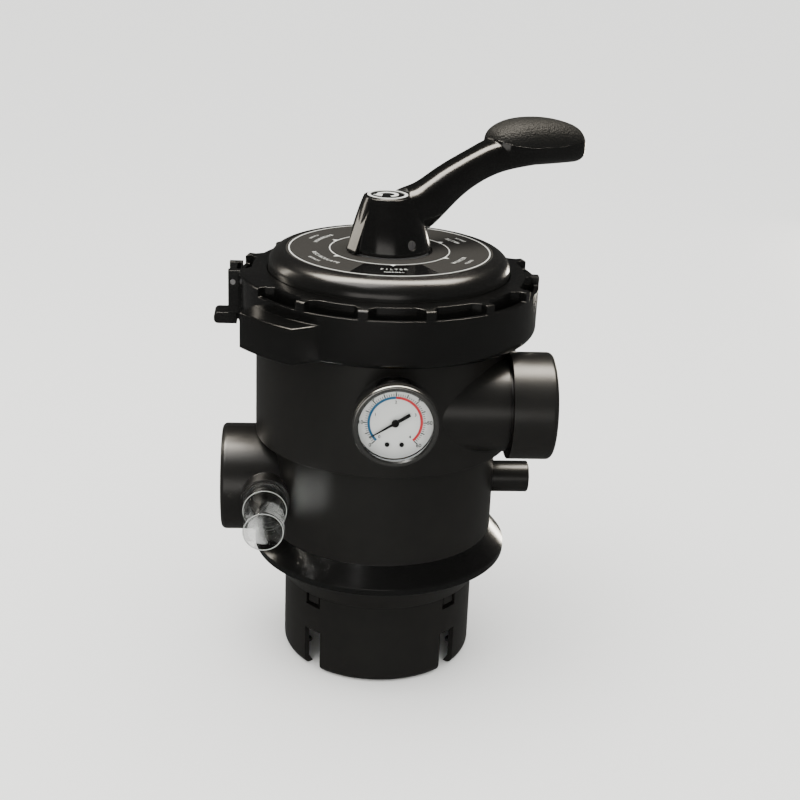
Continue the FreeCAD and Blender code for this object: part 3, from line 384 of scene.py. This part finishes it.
def letters(text, size, bold=0.0):
    """Mesh of a word lying in XY, centred, sizes in millimetres."""
    clear()
    bpy.ops.object.text_add(location=(0, 0, 0))
    piece = bpy.context.object
    piece.data.body = text
    piece.data.size = size * MM
    piece.data.offset = bold * MM
    piece.data.extrude = LETTER_THICKNESS_MM / 2 * MM
    piece.data.align_x = "CENTER"
    piece.data.align_y = "CENTER"
    piece.data.resolution_u = 3
    bpy.ops.object.convert(target="MESH")
    return bpy.context.object


def along(angle, reach):
    """Vector in XY at an angle in radians, of a length in millimetres."""
    return Vector((math.cos(angle), math.sin(angle), 0)) * reach * MM


def word_on_arc(text, size, radius, middle, z, step):
    """Letters standing on a circle about Z, read from outside the circle."""
    pitch = math.degrees(step / radius)
    made = []
    for i, letter in enumerate(text):
        if letter == " ":
            continue
        angle = middle + (i - (len(text) - 1) / 2) * pitch
        piece = letters(letter, size)
        turn = Matrix.Rotation(math.radians(angle + 90), 4, "Z")
        place = along(math.radians(angle), radius) + Vector((0, 0, z * MM))
        piece.data.transform(Matrix.Translation(place) @ turn)
        made.append(piece)
    return made


# %% [markdown]
# The position ring: a white circle near its edge, another round the hub, a pointed mark at each of the six
# positions, and the usual words for a filter valve's positions. The one in front sits on a glossy black
# panel.

# %% Position ring print
label_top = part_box("position_label")[1][2] / MM
outer_line = band(56.6, 57.3, label_top, thickness=0.03)
hand_over(outer_line, "label_outer_line", "valve", white_ink)
inner_line = band(33.7, 34.3, label_top, thickness=0.03)
hand_over(inner_line, "label_inner_line", "valve", white_ink)
panel = band(36.0, 55.4, label_top, middle=271, half=26, thickness=0.02)
hand_over(panel, "label_front_panel", "valve", black_ink)


def triangle(radius, turn, centre, thickness):
    """Flat three-cornered mark, sizes in millimetres, turn in radians."""
    clear()
    bpy.ops.mesh.primitive_cylinder_add(vertices=3, radius=radius * MM, depth=thickness * MM)
    mark = bpy.context.object
    mark.data.transform(Matrix.Rotation(turn, 4, "Z"))
    mark.location = centre
    bpy.ops.object.transform_apply(location=True)
    return mark


MARK_RADIUS_MM = 35.2
marks = []
for k in range(6):
    angle = math.radians(30 + 60 * k)
    centre = along(angle, MARK_RADIUS_MM) + Vector((0, 0, label_top * MM))
    marks.append(triangle(2.0, angle - math.pi / 2, centre, 0.05))
hand_over(joined(marks), "label_marks", "valve", white_ink)

positions = ((270, ("FILTER", "NORMAL")), (330, ("WINTER", "CLOSE")), (30, ("WASTE", "DRAIN")),
             (90, ("RINSE", "AFTER WASH")), (150, ("BACKWASH", "CLEAN")), (210, ("RECIRCULATE", "BYPASS")))
words = []
for angle, (first, second) in positions:
    words += word_on_arc(first, size=3.4, radius=44.0, middle=angle, z=label_top + 0.02, step=2.6)
    words += word_on_arc(second, size=2.4, radius=49.6, middle=angle, z=label_top + 0.02, step=1.9)
hand_over(joined(words), "label_words", "valve", white_ink)

# %% [markdown]
# The small disc on the hub carries a plain sign: a white ring, and inside it a bent arrow that shows that
# the handle turns.

# %% Hub sign
cap_low, cap_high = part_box("hub_cap")
cap_centre = Vector(((cap_low[0] + cap_high[0]) / 2, (cap_low[1] + cap_high[1]) / 2, 0))
hub_top = cap_high[2] / MM
SIGN_THICKNESS_MM = 0.12
ARROW_MIDDLE, ARROW_HALF = 60, 130
sign = [band(9.7, 11.4, hub_top - 0.1, thickness=SIGN_THICKNESS_MM),
        band(4.0, 6.2, hub_top - 0.1, ARROW_MIDDLE, ARROW_HALF, SIGN_THICKNESS_MM)]
head_angle = math.radians(ARROW_MIDDLE + ARROW_HALF + 10)
head_centre = along(head_angle, 5.1) + Vector((0, 0, (hub_top - 0.04) * MM))
hub_sign = joined(sign + [triangle(3.4, head_angle, head_centre, SIGN_THICKNESS_MM)])
bpy.ops.object.transform_apply(location=True)
hub_sign.location = cap_centre
hand_over(hub_sign, "hub_sign", "handle", white_ink)

# %% [markdown]
# The gauge's face is drawn flat about its own centre, as seen from the front, and is then stood up to face
# -Y. The scale runs from lower left to lower right over 270 degrees. It has a blue arc for the normal
# range, a red one above it, fine ticks, and numerals outside and inside the arcs.

# %% Gauge face
dial_low, dial_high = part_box("gauge_dial")
gauge_centre = Vector(((dial_low[0] + dial_high[0]) / 2, dial_low[1], (dial_low[2] + dial_high[2]) / 2))
ZERO_ANGLE, FULL_SWEEP = 225.0, 270.0


def on_gauge(pieces, name, material):
    """Stand flat pieces up on the gauge's dial."""
    piece = joined(pieces)
    bpy.ops.object.transform_apply(location=True, rotation=True, scale=True)
    piece.data.transform(Matrix.Translation(gauge_centre) @ Matrix.Rotation(math.pi / 2, 4, "X"))
    hand_over(piece, name, "valve", material)


def scale_angle(share):
    """Angle in degrees of a share of the scale."""
    return ZERO_ANGLE - FULL_SWEEP * share


def ticks(r_in, r_out, width, count, skip=0):
    """Ticks along the scale, sizes in millimetres; every skip-th one is left out."""
    made = []
    for i in range(count + 1):
        if skip and i % skip == 0:
            continue
        clear()
        bpy.ops.mesh.primitive_cube_add(size=1)
        tick = bpy.context.object
        tick.data.transform(Matrix.Diagonal(((r_out - r_in) * MM, width * MM, 0.05 * MM, 1)))
        angle = math.radians(scale_angle(i / count))
        shift = Matrix.Translation(along(angle, (r_in + r_out) / 2))
        tick.data.transform(shift @ Matrix.Rotation(angle, 4, "Z"))
        made.append(tick)
    return made


def numerals(values, size, bold, radius):
    """Numerals spread evenly along the scale."""
    made = []
    for i, value in enumerate(values):
        numeral = letters(str(value), size, bold)
        angle = math.radians(scale_angle(i / (len(values) - 1)))
        numeral.data.transform(Matrix.Translation(along(angle, radius)))
        made.append(numeral)
    return made


for name, share, colour in (("dial_blue_arc", 0.25, dial_blue), ("dial_red_arc", 0.75, dial_red)):
    on_gauge([band(13.1, 14.5, 0, scale_angle(share), FULL_SWEEP / 4, 0.04)], name, colour)
on_gauge(ticks(14.6, 15.9, 0.36, 60, skip=5) + ticks(14.6, 16.8, 0.6, 12), "dial_ticks", dial_black)
outer_numerals = numerals(range(0, 61, 10), size=2.9, bold=0.06, radius=18.0)
inner_numerals = numerals(range(5), size=2.4, bold=0.05, radius=11.3)
on_gauge(outer_numerals + inner_numerals, "dial_numerals", dial_black)
print("gauge face centre, m:", tuple(round(v, 4) for v in gauge_centre))

# %% [markdown]
# Clear plastic is easiest to see at its edges, where light gathers. Slim rings of pale, half-clear grey at
# the rounded rims of the sight glass and of its nut paint that gathered light on as a highlight.

# %% Painted highlights on the rims of the sight glass
# The pale half-clear rings below are a painted highlight for the light caught at the rims, not a cloudy
# plastic.
rim_highlight_paint, tree, shader, place = start_material("painted_rim_highlight_skin", "#b9bcb9", Alpha=0.6)
uneven_gloss(tree, shader, place, patch_mm=3, low=0.12, high=0.35)
SIGHT_RIM_RADIUS_MM, RIM_INSET_MM, RIM_SETBACK_MM, RIM_WIRE_MM = 10.9, 0.6, 0.4, 0.22
for node in ("sight_glass", "sight_glass_nut"):
    low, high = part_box(node)
    clear()
    rim_radius = (high[0] - low[0]) / 2 - RIM_INSET_MM * MM
    if node == "sight_glass":
        rim_radius = min(rim_radius, SIGHT_RIM_RADIUS_MM * MM)
    rim_place = ((low[0] + high[0]) / 2, low[1] + RIM_SETBACK_MM * MM, (low[2] + high[2]) / 2)
    bpy.ops.mesh.primitive_torus_add(major_radius=rim_radius, minor_radius=RIM_WIRE_MM * MM,
                                     major_segments=72, minor_segments=10, rotation=(math.pi / 2, 0, 0),
                                     location=rim_place)
    hand_over(bpy.context.object, node + "_rim", "valve", rim_highlight_paint)

# %% [markdown]
# The floor is a plain pale sheet under the neck. It is not part of the valve.

# %% Floor
floor_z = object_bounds()[0][2]
clear()
bpy.ops.mesh.primitive_plane_add(size=12.0, location=(0, 0, floor_z))
floor = bpy.context.object
floor.name = "studio_floor"
paper, tree, shader, place = start_material("pale_paper", "#f2f2f0")
uneven_gloss(tree, shader, place, patch_mm=25, low=0.7, high=0.8, detail=4.0)
floor.data.materials.append(paper)
print("floor height, m:", round(floor_z, 4))
floor.visible_glossy = False

# %% [markdown]
# Black plastic shows only what it reflects. So the room is built for its reflections: what a shiny surface
# sees is dark, a little less so low down, and the floor is left out of it. Everything else is lit by an
# even pale sky. A wide soft box above draws the bright bands on the lid, the hub, the lever and the port,
# three weaker boxes draw the thin ones at the sides, and one lamp lights the whole valve and gives it its
# shadow.

# %% Room
world = bpy.data.worlds.new("studio_room")
bpy.context.scene.world = world
world.use_nodes = True
tree = world.node_tree
background = tree.nodes["Background"]
direction = add(tree, "ShaderNodeTexCoord").outputs["Generated"]
height = add(tree, "ShaderNodeSeparateXYZ", {"Vector": direction}).outputs["Z"]
rise = add(tree, "ShaderNodeMapRange", {"Value": height}, From_Min=-1.0, From_Max=1.0).outputs["Result"]
ramp = add(tree, "ShaderNodeValToRGB", {"Fac": rise})
stops = ramp.color_ramp.elements
stops[0].position, stops[0].color = 0.30, (0.12, 0.12, 0.115, 1)
stops[1].position, stops[1].color = 0.75, (0.012, 0.012, 0.012, 1)
mirrored = add(tree, "ShaderNodeLightPath").outputs["Is Glossy Ray"]
PALE_SKY = (2.3, 2.3, 2.27, 1)
room = add(tree, "ShaderNodeMix", {"Factor": mirrored}, data_type="RGBA")
room.inputs["A"].default_value = PALE_SKY
tree.links.new(ramp.outputs["Color"], room.inputs["B"])
tree.links.new(room.outputs["Result"], background.inputs["Color"])
background.inputs["Strength"].default_value = 1.0

WARM, NEARLY_WHITE, WHITE = (1.0, 0.92, 0.79), (1.0, 0.96, 0.9), (1.0, 0.98, 0.95)


def soft_box(name, place, aim, size, power, colour=WARM, gloss_only=True):
    """Area light at a place, turned to an aim point; sizes in metres, power in watts."""
    lamp = bpy.data.lights.new(name, "AREA")
    lamp.shape = "RECTANGLE"
    lamp.size, lamp.size_y = size
    lamp.energy = power
    lamp.color = colour
    holder = bpy.data.objects.new(name, lamp)
    bpy.context.collection.objects.link(holder)
    way = Vector(aim) - Vector(place)
    holder.rotation_euler = way.to_track_quat("-Z", "Y").to_euler()
    holder.location = place
    holder.visible_diffuse = not gloss_only
    print(name, "watts:", power)


soft_box("soft_box_top", (0, 0.12, 1.2), (0, 0.05, 0.1), (1.7, 0.5), 66)
soft_box("soft_box_left", (-1.2, 0.6, 0.5), (0, 0, 0.1), (0.2, 0.6), 3)
soft_box("soft_box_right", (0.8, 1.1, -0.05), (0, 0, 0.03), (0.2, 0.3), 5)
soft_box("soft_box_front", (-0.5, -1.9, 0.1), (0, 0, 0.0), (1.8, 0.7), 7, NEARLY_WHITE)
soft_box("lamp_above", (-0.4, -0.3, 1.4), (0, 0, 0.1), (0.9, 0.9), 12, WHITE, gloss_only=False)

# %% [markdown]
# The camera stands above the valve and a little left of its front, less than 0.9 m away, with a long lens.
# Its heading, pitch and roll give its three directions.

# %% Camera
heading, pitch, roll = math.radians(4.29), math.radians(-20.54), math.radians(2.33)
forward = Vector((math.sin(heading) * math.cos(pitch), math.cos(heading) * math.cos(pitch),
                  math.sin(pitch)))
right = Vector((math.cos(heading), -math.sin(heading), 0))
up = right.cross(forward)
right_rolled = right * math.cos(roll) + up * math.sin(roll)
up_rolled = up * math.cos(roll) - right * math.sin(roll)
eye = Vector((-0.0487, -0.7746, 0.3806))
pose = Matrix((right_rolled, up_rolled, -forward)).transposed().to_4x4()
pose.translation = eye
camera = bpy.data.objects.new("camera", bpy.data.cameras.new("camera"))
bpy.context.collection.objects.link(camera)
camera.matrix_world = pose
camera.data.lens = 63.2  # millimetres
camera.data.sensor_width = 36
bpy.context.scene.camera = camera
print("camera distance, m:", round(eye.length, 3))
